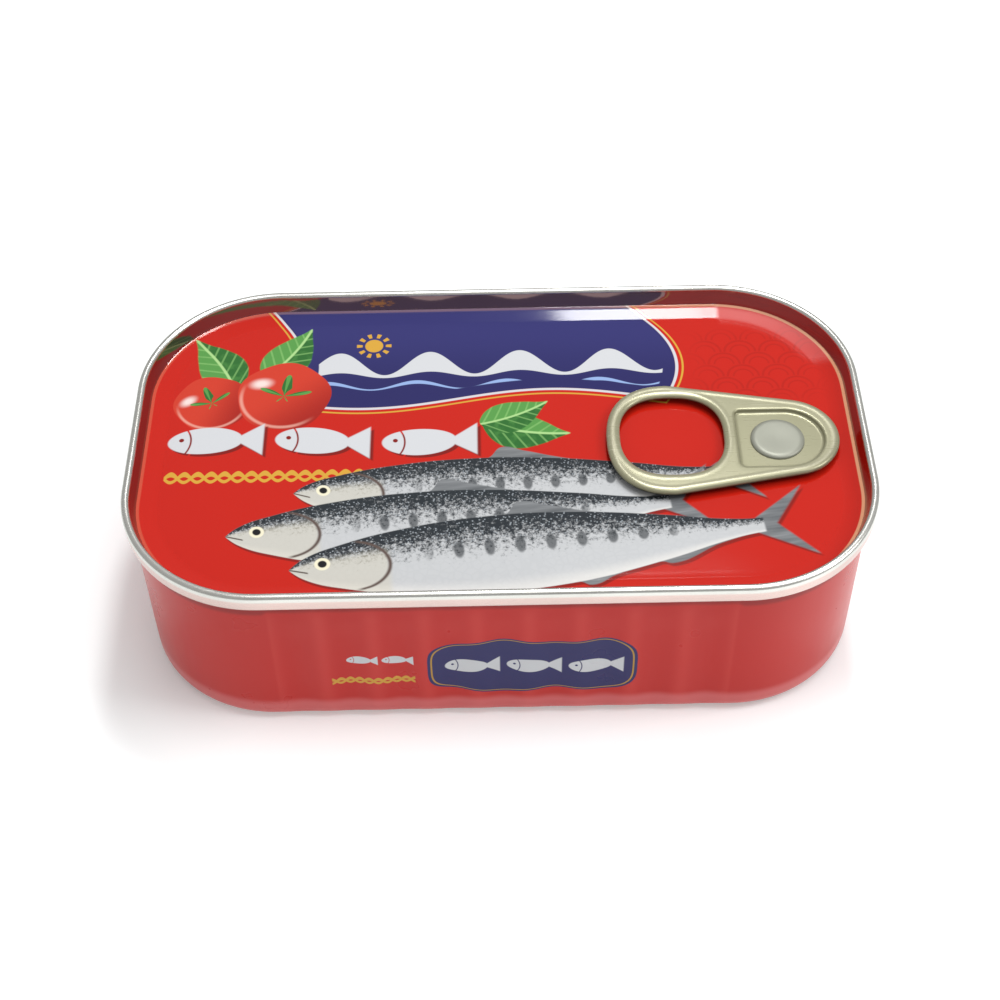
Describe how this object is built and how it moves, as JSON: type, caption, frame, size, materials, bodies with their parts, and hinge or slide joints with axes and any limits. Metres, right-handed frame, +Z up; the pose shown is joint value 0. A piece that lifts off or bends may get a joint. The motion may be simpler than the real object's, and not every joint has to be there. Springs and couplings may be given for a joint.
{
  "type": "sardine tin",
  "caption": "Shut, filled fish tin: an oblong drawn metal body with round corners, a seamed easy-open lid printed in red, and a flat ring pull riveted near one end.",
  "frame": {"origin": "middle of the base, on the surface that the tin stands on", "axes": "+X along the tin's length towards the nose of the ring pull, +Y across its width, +Z up"},
  "size_m": [0.105, 0.06, 0.029],
  "materials": {
    "printed_wall": "satin lacquer over a red print with a dark blue field",
    "printed_lid": "gloss lacquer over a red print with a dark blue field and pale fish",
    "seam_metal": "bare bright tinplate",
    "ring_metal": "pale champagne lacquer, satin"
  },
  "bodies": {
    "root": {"can_body": "printed_wall", "lid": "printed_lid", "ring_pull": "ring_metal"}
  },
  "joints": []
}
